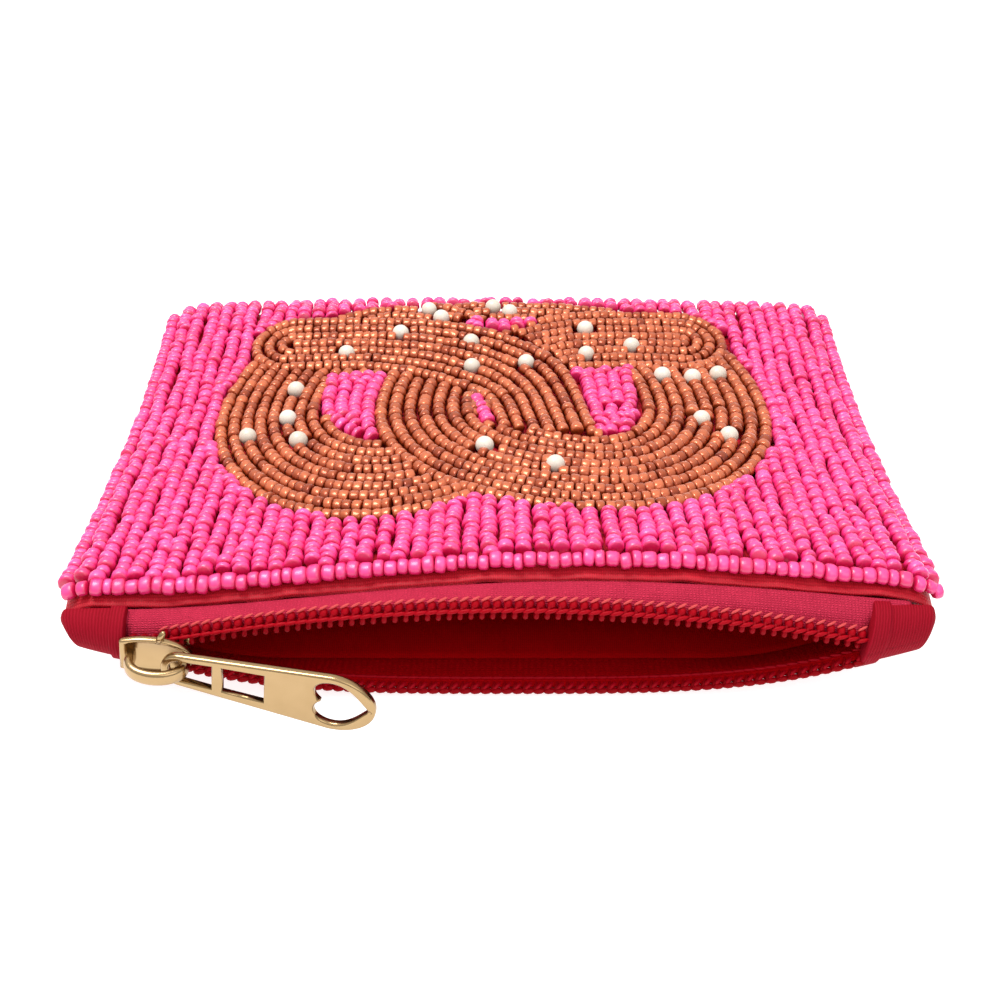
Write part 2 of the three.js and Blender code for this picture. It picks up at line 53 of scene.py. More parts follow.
CAMERA_PLACE, CAMERA_PITCH = (0.3, -216.9, 159.0), 37.16
camera_data = bpy.data.cameras.new("camera")
camera_data.lens = 56.9
camera_data.sensor_width = 36.0
camera = bpy.data.objects.new("camera", camera_data)
camera.location = [part * MM for part in CAMERA_PLACE]
camera.rotation_euler = (math.radians(90 - CAMERA_PITCH), 0, 0)
scene.collection.objects.link(camera)
scene.camera = camera


def add_node(tree, kind, settings=(), inputs=()):
    """One shader node with its plain settings, then a value or a link for each named or numbered input."""
    made = tree.nodes.new(kind)
    for key, value in dict(settings).items():
        setattr(made, key, value)
    for key, value in dict(inputs).items():
        if isinstance(value, bpy.types.NodeSocket):
            tree.links.new(value, made.inputs[key])
        else:
            made.inputs[key].default_value = value
    return made


def start_material(name, sockets):
    """New Principled material; each constant value goes straight onto the shader's own socket."""
    material = bpy.data.materials.new(name)
    material.use_nodes = True
    shader = material.node_tree.nodes["Principled BSDF"]
    for socket, value in sockets.items():
        shader.inputs[socket].default_value = value
    return material, material.node_tree, shader


world = bpy.data.worlds.new("studio")
world.use_nodes = True
sky = world.node_tree
direction = add_node(sky, "ShaderNodeTexCoord").outputs["Generated"]
height = add_node(sky, "ShaderNodeSeparateXYZ", {}, {0: direction}).outputs["Z"]
level = add_node(
    sky, "ShaderNodeMapRange", {},
    {"Value": height, "From Min": 0.0, "From Max": 0.9, "To Min": 0.45, "To Max": 1.1},
)
sky.links.new(level.outputs["Result"], sky.nodes["Background"].inputs["Strength"])
sky.nodes["Background"].inputs["Color"].default_value = (1.0, 0.99, 0.98, 1)
scene.world = world

for name, place, size, power in (
    ("key_light", (-0.22, 0.12, 0.80), 0.40, 6.0),
    ("fill_light", (0.35, -0.45, 0.60), 0.50, 1.0),
):
    lamp = bpy.data.lights.new(name, "AREA")
    lamp.size = size
    lamp.energy = power
    holder = bpy.data.objects.new(name, lamp)
    holder.location = place
    holder.rotation_euler = (-Vector(place)).to_track_quat("-Z", "Y").to_euler()
    scene.collection.objects.link(holder)

SWEEP_REACH, SWEEP_DROP = 3.0, 0.0003
sweep_corners = [
    (SWEEP_REACH * x, SWEEP_REACH * y, -SWEEP_DROP) for x, y in ((-1, -1), (1, -1), (1, 1), (-1, 1))
]
floor_mesh = bpy.data.meshes.new("floor")
floor_mesh.from_pydata(sweep_corners, [], [(0, 1, 2, 3)])
floor_mesh.materials.append(start_material("white_sweep", {
    "Base Color": (0.55, 0.55, 0.55, 1), "Roughness": 0.8,
    "Emission Color": (1, 1, 1, 1), "Emission Strength": 0.84,
})[0])
floor = bpy.data.objects.new("floor", floor_mesh)
scene.collection.objects.link(floor)


# Front panel: a cut of crimson satin that carries the beads, about 1 mm thick. It is arched over the open
# mouth, rolled down into the side and far seams, and shows as a narrow wrinkled facing between the beads
# and the zip.
HALF_WIDTH, FAR_Y, PANEL_DEPTH = 61.4, 46.0, 94.6
FACING_START = 0.962


def ramp(value, start, end):
    """0 up to start, then rising in a straight line to 1 at end, and held there."""
    return np.clip((value - start) / (end - start), 0, 1)


def blend_between(low, high, share):
    """Straight blend: low at share 0, high at share 1."""
    return low + (high - low) * share


def half_width(b):
    """Half the panel's width: drawn in by a half sine wave between the far seam and the mouth."""
    return HALF_WIDTH - 1.2 * np.sin(np.pi * np.clip(b, 0, 1))


def cloth_height(x, y):
    """Front cloth's height over the table in mm. With b from 0 at the far seam to 1 at the mouth and a from
    -1 to 1 between the side seams: an edge line rising to the mouth, plus an arch that goes from 1 - |a|^2.6
    to (1 - a^2)^2, plus a sway that lifts the right of the mouth and lowers its left, less a quadratic roll
    at the side and far seams and a drop along the facing."""
    b = (FAR_Y - y) / PANEL_DEPTH
    depth = np.clip(b, 0, 1.1)
    a = x / half_width(b)
    mouth = depth**3
    edge = blend_between(4.3, 14.8, depth**1.55)
    arch = blend_between(1.6, 4.1, depth**0.6) * blend_between(1 - np.abs(a) ** 2.6, (1 - a * a) ** 2, mouth)
    sway = 2.8 * mouth * (a - a**3) + 0.5 * a * depth
    rolls = blend_between(0.8, 2.1, mouth) * ramp(np.abs(a), 0.92, 1) ** 2 + 0.8 * ramp(b, 0.06, 0) ** 2
    return edge + arch + sway - rolls - 1.3 * ramp(b, FACING_START, 1) ** 1.5


def cloth_frame(x, y):
    """Points of the front cloth over plan points, with unit vectors across (+X), away (+Y) and out of the
    cloth, from central differences of its height."""
    step = 0.02
    slope_x = (cloth_height(x + step, y) - cloth_height(x - step, y)) / (2 * step)
    slope_y = (cloth_height(x, y + step) - cloth_height(x, y - step)) / (2 * step)
    nought, one = np.zeros_like(slope_x), np.ones_like(slope_x)
    across = np.stack([one, nought, slope_x], -1)
    out = np.stack([-slope_x, -slope_y, one], -1)
    across /= np.linalg.norm(across, axis=-1, keepdims=True)
    out /= np.linalg.norm(out, axis=-1, keepdims=True)
    return np.stack([x, y, cloth_height(x, y)], -1), across, np.cross(out, across), out


def grid_faces(rows, columns, round_columns=False):
    """Quads between the neighbours of a grid of points, closed round on itself where asked."""
    row, column = np.meshgrid(
        np.arange(rows - 1), np.arange(columns if round_columns else columns - 1), indexing="ij"
    )
    row, column = row.ravel(), column.ravel()
    after = (column + 1) % columns
    corners = ((row, column), (row + 1, column), (row + 1, after), (row, after))
    return np.stack([r * columns + c for r, c in corners], -1)


def add_piece(name, points, faces, material, uv=None, tone=None, body="purse"):
    """Smooth mesh object from points in mm and quads, riding on a CAD body, with an optional UV map in mm
    and an optional tone between 0 and 1 for each point."""
    points, faces = np.asarray(points, float).reshape(-1, 3) * MM, np.asarray(faces, np.int32)
    mesh = bpy.data.meshes.new(name)
    mesh.vertices.add(len(points))
    mesh.vertices.foreach_set("co", points.ravel())
    mesh.loops.add(faces.size)
    mesh.loops.foreach_set("vertex_index", faces.ravel())
    mesh.polygons.add(len(faces))
    mesh.polygons.foreach_set("loop_start", np.arange(len(faces), dtype=np.int32) * faces.shape[1])
    mesh.polygons.foreach_set("use_smooth", np.full(len(faces), True))
    mesh.update(calc_edges=True)
    if uv is not None:
        layer = mesh.uv_layers.new(name="cloth")
        layer.data.foreach_set("uv", np.asarray(uv, float).reshape(-1, 2)[faces.ravel()].ravel())
    if tone is not None:
        layer = mesh.attributes.new("tone", "FLOAT", "POINT")
        layer.data.foreach_set("value", np.asarray(tone, float).ravel())
    mesh.materials.append(material)
    piece = bpy.data.objects.new(name, mesh)
    scene.collection.objects.link(piece)
    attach(piece, body)
    return piece


def thicken(piece, thickness):
    """Gives an open cloth its wall, on the side that its faces turn away from."""
    wall = piece.modifiers.new("wall", "SOLIDIFY")
    wall.thickness = thickness * MM
    wall.offset = -1
    return piece


def mix_colours(tree, share, first, second):
    """Colour that goes from the first at share 0 to the second at share 1."""
    mix = add_node(tree, "ShaderNodeMix", {"data_type": "RGBA"}, {0: share, 6: first, 7: second})
    return mix.outputs[2]


def woven_material(name, deep, bright, warp, weft, relief, sockets, uneven=0.8):
    """Cloth on a UV map in mm. Sine bands at the warp pitch, multiplied by bands at the weft pitch where
    there is one, give a thread height that mixes the deep colour between the threads with the bright one on
    them and drives the bump; slow noise adds tone, and the bands waver by the uneven amount."""
    material, tree, shader = start_material(name, sockets)
    place = add_node(tree, "ShaderNodeUVMap", {"uv_map": "cloth"}).outputs["UV"]
    slow = add_node(tree, "ShaderNodeTexNoise", {}, {"Vector": place, "Scale": 0.35, "Detail": 3.0})
    thread = None
    for way, pitch in (("X", warp), ("Y", weft)):
        if pitch:
            bands = add_node(
                tree, "ShaderNodeTexWave", {"bands_direction": way},
                {"Vector": place, "Scale": math.pi / 10 / pitch, "Distortion": uneven, "Detail Scale": 2.0},
            ).outputs["Fac"]
            thread = bands if thread is None else add_node(
                tree, "ShaderNodeMath", {"operation": "MULTIPLY"}, {0: thread, 1: bands}
            ).outputs["Value"]
    share = add_node(
        tree, "ShaderNodeMath", {"operation": "MULTIPLY_ADD", "use_clamp": True},
        {0: slow.outputs["Fac"], 1: 0.6, 2: thread},
    )
    tree.links.new(mix_colours(tree, share.outputs["Value"], deep, bright), shader.inputs["Base Color"])
    bump = add_node(tree, "ShaderNodeBump", {}, {"Height": thread, "Distance": relief * MM, "Strength": 0.8})
    tree.links.new(bump.outputs["Normal"], shader.inputs["Normal"])
    return material


satin = woven_material(
    "crimson_satin", (0.34, 0.003, 0.011, 1), (0.60, 0.012, 0.030, 1), 0.32, 0.55, 0.05,
    {"Roughness": 0.5, "Specular IOR Level": 0.25, "Sheen Weight": 0.05, "Sheen Tint": (1.0, 0.2, 0.3, 1)},
)

a_lines = np.linspace(-1, 1, 181)
b_lines = np.concatenate([np.linspace(0, FACING_START, 100)[:-1], np.linspace(FACING_START, 1, 15)])
b_grid, a_grid = np.meshgrid(b_lines, a_lines, indexing="ij")
x_grid, y_grid = a_grid * half_width(b_grid), FAR_Y - b_grid * PANEL_DEPTH
front_points, _, _, front_out = cloth_frame(x_grid, y_grid)
broad = 0.2 * np.sin(x_grid / 2.9 + 40 * b_grid) * np.sin(x_grid / 7.9 + 1.3)
fine = 0.08 * np.sin(x_grid / 1.1 - 60 * b_grid)
wrinkle = ramp(b_grid, 0.975, 0.99) * (broad + fine)
front_points = front_points + wrinkle[..., None] * front_out
front_cloth = thicken(
    add_piece(
        "front_cloth", front_points, grid_faces(len(b_lines), len(a_lines)), satin,
        uv=np.stack([x_grid, y_grid], -1),
    ),
    1.0,
)
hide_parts("front_panel")


# Back panel: a second cut of the same satin, 1.2 mm with its backing. It lies flat on the table
# and is drawn up to the front panel at the side and far seams, where the two are sewn together.
BACK_END, SEAM_STACK = 0.988, 2.6


def back_height(x, y):
    """Outer face of the back cloth: the front cloth's height less the seam's stack, times a lift that is
    quadratic in the distance past half way to a side seam, or in the last tenth before the far seam, plus a
    small step up at the seams themselves; flat elsewhere."""
    b = (FAR_Y - y) / PANEL_DEPTH
    a = np.abs(x / half_width(b))
    lift = 1 - (1 - ramp(a, 0.5, 1) ** 2) * (1 - ramp(b, 0.1, 0) ** 2)
    return lift * (cloth_height(x, y) - SEAM_STACK) + 0.35 * ramp(lift, 0.88, 1)


b_lines = np.linspace(0, BACK_END, 90)
b_grid, a_grid = np.meshgrid(b_lines, a_lines, indexing="ij")
x_grid, y_grid = a_grid * half_width(b_grid), FAR_Y - b_grid * PANEL_DEPTH
back_points = np.stack([x_grid, y_grid, back_height(x_grid, y_grid)], -1)
back_cloth = thicken(
    add_piece(
        "back_cloth", back_points, grid_faces(len(b_lines), len(a_lines))[:, ::-1], satin,
        uv=np.stack([x_grid, y_grid], -1),
    ),
    1.2,
)
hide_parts("back_panel")


# Lining: two cuts of thin dark red cloth inside the panels, sewn in along the mouth and the seams.
# They are slack, so shallow folds run from the mouth into the pocket.
lining_material = woven_material(
    "lining_red", (0.24, 0.0, 0.0005, 1), (0.40, 0.0, 0.002, 1), 0.3, 0.3, 0.02,
    {"Roughness": 0.8, "Specular IOR Level": 0.03},
)
span = np.linspace(-1, 1, 121)
for name, node, last, flat, area in (
    ("lining_over", "lining_front", 0.95, (0.1092, 0.0793), 0.00778),
    ("lining_under", "lining_back", 0.988, (0.1128, 0.0821), 0.00819),
):
    b_lines = np.linspace(0.12, last, 60)
    b_grid, span_grid = np.meshgrid(b_lines, span, indexing="ij")
    a_grid = span_grid * (0.68 + 0.22 * b_grid)
    x_grid, y_grid = a_grid * half_width(b_grid), FAR_Y - b_grid * PANEL_DEPTH
    fold = 0.15 * np.sin(x_grid / 3.1 + 2.0 * np.sin(y_grid / 19))
    fold = fold * ramp(b_grid, 0.3, 0.7) * ramp(b_grid, last, 0.8)
    front_points, _, _, front_out = cloth_frame(x_grid, y_grid)
    over = node == "lining_front"
    under_height = back_height(x_grid, y_grid) + 2.3 - 0.8 * ramp(b_grid, 0.93, last) + fold
    under_points = np.stack([x_grid, y_grid, under_height], -1)
    lining = thicken(
        add_piece(
            name, front_points - (2.1 + fold)[..., None] * front_out if over else under_points,
            grid_faces(len(b_lines), len(span))[:, ::-1 if over else 1], lining_material,
            uv=np.stack([x_grid, y_grid], -1),
        ),
        0.7,
    )
    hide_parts(node)


# Pretzel motif: strings of bronze cut-glass beads couched down in ropes, each rope a bundle of strings side
# by side. Two rings lie through each other near the mouth; a rope from the far left end passes over the far
# crossing.
random = np.random.default_rng(11)
BRONZE_PITCH, STRAND_DOWN, ALONG = 1.5, 2.75, 1.32
SIDE_FILL = {5: 0.05, 4: 0.05, 3: 0.15, 2: 0.05, 1: 0.0}
SPARE_GAP, PEARL_ROOM = 1.45, 1.75
FAR_ARC_Y, FAR_ARC_RADIUS, FIRST_ARC = -34.8, 80, 78.6
LEFT_RING = {"x": -18.5, "y": 3.0, "left": 28.4, "right": 28.4, "near": 36.6, "far": 43.0, "strand": 2.15}
RIGHT_RING = {"x": 16.4, "y": 3.0, "left": 37.0, "right": 29.0, "near": 36.2, "far": 45.0, "strand": 2.4}
ROPE_LEFT = np.array([
    (-34.3, 28.0, 10.4), (-27.0, 27.8, 10.4), (-20.0, 27.2, 10.6), (-11.0, 25.0, 11.4), (-4.0, 21.0, 11.4),
    (2.0, 15.3, 10.3), (5.5, 8.0, 8.6), (7.2, 0.0, 8.0), (8.6, -9.0, 8.0),
])
ROPE_RIGHT = np.array([
    (6.0, 25.5, 10.5), (12.0, 28.0, 11.2), (18.0, 29.2, 11.6), (24.0, 29.4, 11.6), (30.0, 29.4, 11.6),
])


def smooth_rows(rows, count):
    """Rows of a table joined by a Catmull-Rom curve and sampled evenly in row number."""
    ends = np.vstack([2 * rows[:1] - rows[1:2], rows, 2 * rows[-1:] - rows[-2:-1]])
    place = np.linspace(0, len(rows) - 1, count)
    k = np.minimum(place.astype(int), len(rows) - 2)
    t = (place - k)[:, None]
    p0, p1, p2, p3 = ends[k], ends[k + 1], ends[k + 2], ends[k + 3]
    square, cube = 2 * p0 - 5 * p1 + 4 * p2 - p3, 3 * p1 - p0 - 3 * p2 + p3
    return 0.5 * (2 * p1 + (p2 - p0) * t + square * t**2 + cube * t**3)


def ring_share(ring, x, y):
    """How far out a plan point is in a ring: 1 on its outline, an ellipse with its own radius on each of
    four sides."""
    wide = np.where(x < ring["x"], ring["left"], ring["right"])
    deep = np.where(y < ring["y"], ring["near"], ring["far"])
    return np.hypot((x - ring["x"]) / wide, (y - ring["y"]) / deep)


def ring_strand(ring, k):
    """The ring's outline drawn in by nearly half a strand and k more, by its own spacing across the panel
    and by a wider one along it, as a closed path of plan points."""
    inset = k + 0.45
    angle = np.linspace(0, 2 * np.pi, 721)
    wide = np.where(np.cos(angle) < 0, ring["left"], ring["right"]) - inset * ring["strand"]
    deep = np.where(np.sin(angle) < 0, ring["near"], ring["far"]) - inset * STRAND_DOWN
    return np.stack([ring["x"] + wide * np.cos(angle), ring["y"] + deep * np.sin(angle)], -1)


def rope_strands(line, shares, end):
    """Paths at given shares of a rope's half width either side of its middle line; each pair is joined by
    half an ellipse round the rope's closed end, which is the line's first row (0) or its last (-1). The
    ellipses are narrower across the panel by ALONG, and set out so that the widest still reaches the rope's
    round end."""
    heading = np.gradient(line[:, :2], axis=0)
    heading /= np.linalg.norm(heading, axis=1, keepdims=True)
    side = np.stack([-heading[:, 1], heading[:, 0]], -1)
    turn = 1 if end == 0 else -1
    sweep = np.linspace(np.pi / 2, 1.5 * np.pi, 40)[:, None]
    paths = []
    for share in shares:
        reach = (share * line[:, 2])[:, None]
        up, down = line[:, :2] + reach * side, line[:, :2] - reach * side
        middle = line[end, :2] - np.array([turn * (1 - 1 / ALONG) * line[end, 2], 0])
        cap = middle + reach[end] * np.hstack([turn * np.cos(sweep) / ALONG, np.sin(sweep)])
        paths.append(np.vstack([up[::-turn], cap, down[::turn]]))
    return paths


def near_rope(line, x, y):
    """True where a plan point lies within a rope's half width of its middle line."""
    gap = np.hypot(x[:, None] - line[None, :, 0], y[:, None] - line[None, :, 1])
    return gap.min(1) < line[gap.argmin(1), 2]


def left_eye_edge(y):
    """Left edge of the left gap: straight, then swept to the right as it nears the mouth."""
    return -29.8 + 9.8 * ramp(y, 6.0, -9.0) ** 2.2


def right_eye_edge(y):
    """Right edge of the right gap: straight, then swept to the left as it nears the mouth."""
    return 23.3 - 7.5 * ramp(y, 6.0, -7.0) ** 2.2


def left_eye_side(y):
    """Right edge of the left gap: the right ring's outline."""
    deep = np.where(y < RIGHT_RING["y"], RIGHT_RING["near"], RIGHT_RING["far"])
    share = np.clip((y - RIGHT_RING["y"]) / deep, -1, 1)
    return RIGHT_RING["x"] - RIGHT_RING["left"] * np.sqrt(1 - share**2)


def right_eye_side(y):
    """Left edge of the right gap: straight and leaning to the right."""
    return 13.9 + 1.9 * ramp(y, 16, -6.7)


def sliver_left(y):
    """Left edge of the sliver between the rings, one bead wide and leaning to the right."""
    return -4.75 + 2.6 * ramp(y, 6.5, -4.2)


def sliver_right(y):
    """Right edge of the sliver."""
    return sliver_left(y) + 1.7


def eye_at(x, y):
    """Which pink gap between the ropes holds a plan point: 1 left, 2 right, 3 far, 4 the sliver, 0 none."""
    left = (x > left_eye_edge(y)) & (x < left_eye_side(y)) & (y < 15.4) & (y > -8.6)
    right = (x > right_eye_side(y)) & (x < right_eye_edge(y)) & (y < 15.6) & (y > -6.7)
    far = (np.abs(x) < blend_between(2.2, 6.8, ramp(y, 32.8, 36.2))) & (y > 32.8) & (y < 37.0)
    sliver = (x > sliver_left(y)) & (x < sliver_right(y)) & (y < 6.3) & (y > -4.0)
    return np.select([left, right, far, sliver], [1, 2, 3, 4], 0)


left_line, right_line = smooth_rows(ROPE_LEFT, 300), smooth_rows(ROPE_RIGHT, 120)


def rope_at(x, y):
    """Which rope shows at a plan point: 5 left rope, 4 right rope, 3 right ring, 2 left ring, 1 far arc,
    0 none. The one that lies on top wins; the left rope dives under the right ring's near bundle. The right
    ring leaves its core open, and nothing lies past the far arc's circle but the ropes."""
    share_x = (x - RIGHT_RING["x"]) / np.where(x < RIGHT_RING["x"], 20.8, 7.0)
    share_y = np.minimum(y - RIGHT_RING["y"], 0) / 10.2
    core = np.abs(share_x) ** 3 + np.abs(share_y) ** 3 < 1
    near_side = np.hypot(x, y - FAR_ARC_Y) < FAR_ARC_RADIUS
    right_ring = (ring_share(RIGHT_RING, x, y) < 1) & near_side & ~core
    left_ring = (ring_share(LEFT_RING, x, y) < 1) & near_side
    far_arc = near_side & (np.abs(x) < 33) & (y > 24)
    left_rope = near_rope(left_line, x, y) & ~(right_ring & (y < 3))
    right_rope = near_rope(right_line, x, y)
    found = np.select([left_rope, right_rope, right_ring, left_ring, far_arc], [5, 4, 3, 2, 1], 0)
    return np.where(eye_at(x, y) > 0, 0, found)


def beads_along(path, pitch):
    """Plan positions and headings of beads strung a pitch apart along a path, each slightly off its even
    place. The run is measured with the panel's length divided by ALONG, and so is the heading."""
    even = path / np.array([1.0, ALONG])
    run = np.concatenate([[0], np.cumsum(np.hypot(*np.diff(even, axis=0).T))])
    stops = np.arange(random.uniform(0, pitch), run[-1], pitch)
    stops = stops + random.normal(0, 0.06, len(stops))
    x, y = (np.interp(stops, run, path[:, k]) for k in (0, 1))
    slope_x, slope_y = (np.interp(stops, run, np.gradient(even[:, k])) for k in (0, 1))
    return np.stack([x, y, np.arctan2(slope_y, slope_x)], -1)


def lofted_faces(rings, count):
    """Quads between the neighbouring rings of a lofted shape, whose first and last ring are closed by strips
    of quads fanned from one point."""
    start = np.arange(1, count - 2, 2)
    cap = np.stack([np.zeros_like(start), start, start + 1, start + 2], -1)
    last = (rings - 1) * count
    return np.vstack([grid_faces(rings, count, round_columns=True), cap, cap[:, ::-1] + last])


def bead_form(sides, stations, radii):
    """One bead of unit radius strung along Y: rings of the given radii at the given stations, its ends
    closed."""
    angle = np.arange(sides) * 2 * np.pi / sides
    rings = [
        np.stack([r * np.cos(angle), np.full(sides, s), r * np.sin(angle)], -1)
        for s, r in zip(stations, radii)
    ]
    return np.vstack(rings), lofted_faces(len(stations), sides)


def repeat_form(form, centre, side, axis, up, wide, length, rise):
    """Copies of a bead's form as one set of points and quads: each is scaled by its own width, length and
    rise, and laid along its own three unit vectors from its own centre."""
    points, faces = form
    placed = (
        centre[:, None]
        + wide[:, None, None] * points[None, :, :1] * side[:, None]
        + length[:, None, None] / 2 * points[None, :, 1:2] * axis[:, None]
        + rise[:, None, None] * points[None, :, 2:] * up[:, None]
    )
    return placed, (faces[None] + (np.arange(len(centre)) * len(points))[:, None, None]).reshape(-1, 4)


def string_beads(name, form, places, height, across, length, material, tone, lean, painted_crown_light, painted_end_shade):
    """Beads of one group as one mesh: each stands at its height along the cloth's normal, turned to its
    heading on the cloth with a little random lean, rolled about its string by a random angle, and drawn out
    by ALONG down the panel. Painted light and shade go into its tone: it is raised on the bead's crown and
    lowered at its foot, as light falls from above, and lowered towards its ends, where less light comes in."""
    count = len(places)
    base, east, north, out = cloth_frame(places[:, 0], places[:, 1])
    heading = places[:, 2] + random.normal(0, lean, count)
    axis = np.cos(heading)[:, None] * east + np.sin(heading)[:, None] * north
    axis = axis + random.normal(0, lean, count)[:, None] * out
    axis /= np.linalg.norm(axis, axis=1, keepdims=True)
    side = np.cross(axis, out)
    side /= np.linalg.norm(side, axis=1, keepdims=True)
    up = np.cross(side, axis)
    roll = random.uniform(0, 2 * np.pi, count)[:, None]
    side, up = np.cos(roll) * side + np.sin(roll) * up, np.cos(roll) * up - np.sin(roll) * side
    centre = base + height[:, None] * out
    placed, faces = repeat_form(form, centre, side, axis, up, across, length, across)
    rise = ((placed - centre[:, None]) * out[:, None]).sum(-1) / across[:, None]
    # Painted light and shade: each bead's tone is made lighter on its crown and darker at its foot and ends.
    shade = painted_crown_light * (rise - 0.4) - painted_end_shade * ramp(np.abs(form[0][:, 1]), 0.55, 1)
    along = ((placed - centre[:, None]) * north[:, None]).sum(-1, keepdims=True)
    placed = placed + (ALONG - 1) * along * north[:, None]
    return add_piece(name, placed, faces, material, tone=np.clip(tone[:, None] + shade, 0, 1))


def mottle_roughness(tree, shader, scale, detail, least, most):
    """Noise on Object coordinates that spreads the surface's roughness between two values; gives back the
    noise."""
    place = add_node(tree, "ShaderNodeTexCoord").outputs["Object"]
    noise = add_node(tree, "ShaderNodeTexNoise", {}, {"Vector": place, "Scale": scale, "Detail": detail})
    noise = noise.outputs["Fac"]
    spread = add_node(tree, "ShaderNodeMapRange", {}, {"Value": noise, "To Min": least, "To Max": most})
    tree.links.new(spread.outputs["Result"], shader.inputs["Roughness"])
    return noise


def bead_material(name, low, middle, high, sockets, mottle):
    """Glass bead: its tone runs from the low colour through the middle one to the high one. The tone differs
    at random from bead to bead and, for strung beads, also carries painted light on their crowns and painted
    shade at their feet and ends. Fine noise mottles the surface's roughness."""
    material, tree, shader = start_material(name, sockets)
    tone = add_node(tree, "ShaderNodeAttribute", {"attribute_name": "tone"}).outputs["Fac"]
    colour = low
    for start, brighter in ((0.0, middle), (0.5, high)):
        half = add_node(
            tree, "ShaderNodeMapRange", {}, {"Value": tone, "From Min": start, "From Max": start + 0.5}
        )
        colour = mix_colours(tree, half.outputs["Result"], colour, brighter)
    tree.links.new(colour, shader.inputs["Base Color"])
    mottle_roughness(tree, shader, 900.0, 2.0, *mottle)
    return material


# Painted light and shade: the low colour is reached mostly through the painted shade at the beads' feet and
# ends; the high one partly through the painted light on their crowns, partly through beads that are lighter
# at random.
bronze = bead_material(
    "bronze_glass", (0.13, 0.007, 0.0006, 1), (0.35, 0.055, 0.012, 1), (0.68, 0.170, 0.068, 1),
    {"Metallic": 0.4, "Specular IOR Level": 0.4, "Coat Weight": 0.3, "Coat Roughness": 0.08}, (0.17, 0.32),
)
arc = np.linspace(1.95, 1.19, 200)
arc_way, arc_middle = np.stack([np.cos(arc), np.sin(arc)], -1), np.array([0, FAR_ARC_Y])
strands = {
    5: rope_strands(left_line, (0.0, 2 / 7, 4 / 7, 6 / 7), 0),
    4: rope_strands(right_line, (1 / 8, 3 / 8, 5 / 8, 7 / 8), -1),
    3: [ring_strand(RIGHT_RING, k) for k in range(12)],
    2: [ring_strand(LEFT_RING, k) for k in range(12)],
    1: [(FIRST_ARC - STRAND_DOWN * k) * arc_way + arc_middle for k in range(5)],
}
pearl_boxes = [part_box(f"pearl_{k:02d}") for k in range(1, 24)]
pearl_centres = np.array([(np.array(low) + np.array(high)) / 2 for low, high in pearl_boxes]) / MM

bronze_places, bronze_lift, bronze_fill = [], [], []
for rope, paths in strands.items():
    for path in paths:
        beads = beads_along(path, BRONZE_PITCH)
        beads = beads[rope_at(beads[:, 0], beads[:, 1]) == rope]
        bronze_places.append(beads)
        bronze_lift.append(np.full(len(beads), 0.25 if rope == 5 else 0.0))
        bronze_fill.append(1 + SIDE_FILL[rope] * np.abs(np.sin(beads[:, 2])))
bronze_places = np.vstack(bronze_places)
bronze_lift, bronze_fill = np.concatenate(bronze_lift), np.concatenate(bronze_fill)
spare_grid = np.meshgrid(np.arange(-48, 48, BRONZE_PITCH), np.arange(-34, 46, BRONZE_PITCH * ALONG))
spare_x, spare_y = (lines.ravel() for lines in spare_grid)
spare_gap = np.hypot(
    spare_x[:, None] - bronze_places[None, :, 0], (spare_y[:, None] - bronze_places[None, :, 1]) / ALONG
)
spare = (rope_at(spare_x, spare_y) > 0) & (spare_gap.min(1) > SPARE_GAP)
spare_places = np.stack([spare_x, spare_y, bronze_places[spare_gap.argmin(1), 2]], -1)[spare]
bronze_places = np.vstack([bronze_places, spare_places])
bronze_lift = np.concatenate([bronze_lift, np.zeros(len(spare_places))])
bronze_fill = np.concatenate([bronze_fill, np.ones(len(spare_places))])
to_pearls = bronze_places[:, None, :2] - pearl_centres[None, :, :2]
clear = np.hypot(to_pearls[..., 0], to_pearls[..., 1]).min(1) > PEARL_ROOM
bronze_places, bronze_lift, bronze_fill = bronze_places[clear], bronze_lift[clear], bronze_fill[clear]
count = len(bronze_places)
cut_bead = bead_form(10, (-1, -0.88, -0.5, 0.5, 0.88, 1), (0.7, 0.92, 1.0, 1.0, 0.92, 0.7))
pretzel = string_beads(
    "pretzel_beads", cut_bead, bronze_places, 1.2 + bronze_lift + random.normal(0, 0.06, count),
    bronze_fill * random.normal(0.99, 0.06, count), random.normal(BRONZE_PITCH, 0.09, count), bronze,
    np.clip(random.normal(0.56, 0.17, count), 0, 1), lean=0.09, painted_crown_light=0.65, painted_end_shade=0.22,
)
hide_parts("pretzel_motif")


# Pink field: columns of opaque hot pink seed beads, strung from the far seam to the mouth and couched side
# by side. The beads vary in length and sit a little crooked; shorter strings fill the gaps inside the
# pretzel.
# Painted light and shade: the low colour is reached mostly through the painted shade at the beads' feet and
# ends; the high one partly through the painted light on their crowns, partly through beads that are lighter
# at random.
pink = bead_material(
    "hot_pink_glass", (0.60, 0.002, 0.070, 1), (0.83, 0.022, 0.205, 1), (0.98, 0.086, 0.39, 1),
    {"Specular IOR Level": 0.8, "Coat Weight": 0.35, "Coat Roughness": 0.3}, (0.3, 0.46),
)
COLUMNS, PER_COLUMN, COLUMN_END = 50, 90, -45.3
EYE_STEP, EYE_BEAD = 1.2 * ALONG, 2.25
lengths = np.clip(random.normal(1.12, 0.2, (COLUMNS, PER_COLUMN)), 0.75, 1.75)
share = np.linspace(-1, 1, COLUMNS)[:, None]
first_y = 47.5 - 3.2 * ramp(np.abs(share), 0.93, 1) ** 2 - random.uniform(0, 0.3, (COLUMNS, 1))
column_y = first_y - ALONG * (np.cumsum(lengths, 1) - lengths / 2)
phase = random.uniform(0, 2 * np.pi, (COLUMNS, 1))
sway = 0.2 * np.sin(column_y / 6.5 + phase) + random.normal(0, 0.15, column_y.shape)
column_x = share * half_width((FAR_Y - column_y) / PANEL_DEPTH) + sway * (np.abs(share) < 0.999)
